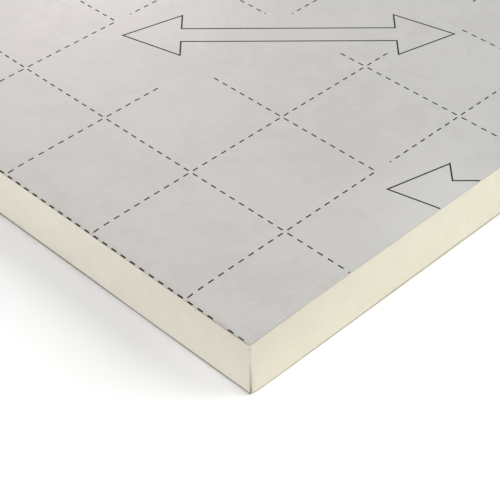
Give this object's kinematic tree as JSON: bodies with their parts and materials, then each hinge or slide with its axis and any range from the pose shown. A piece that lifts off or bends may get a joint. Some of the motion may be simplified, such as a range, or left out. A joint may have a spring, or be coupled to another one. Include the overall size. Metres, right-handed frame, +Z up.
{
  "type": "polyiso insulation board",
  "caption": "Rigid foil-faced foam insulation sheet with square cut edges and a dashed measuring grid printed on its upper face; insulates floors, walls and roofs.",
  "frame": {"origin": "middle of the underside, where the board rests", "axes": "+X along the length, +Y across the width, +Z up through the thickness"},
  "size_m": [2.4, 1.2, 0.05],
  "materials": {
    "foam": "matte cut foam",
    "printed_foil": "satin foil, printed with a dashed grid",
    "plain_foil": "satin foil"
  },
  "bodies": {
    "root": {"foam_core": "foam", "top_foil_facing": "printed_foil", "bottom_foil_facing": "plain_foil"}
  },
  "joints": []
}
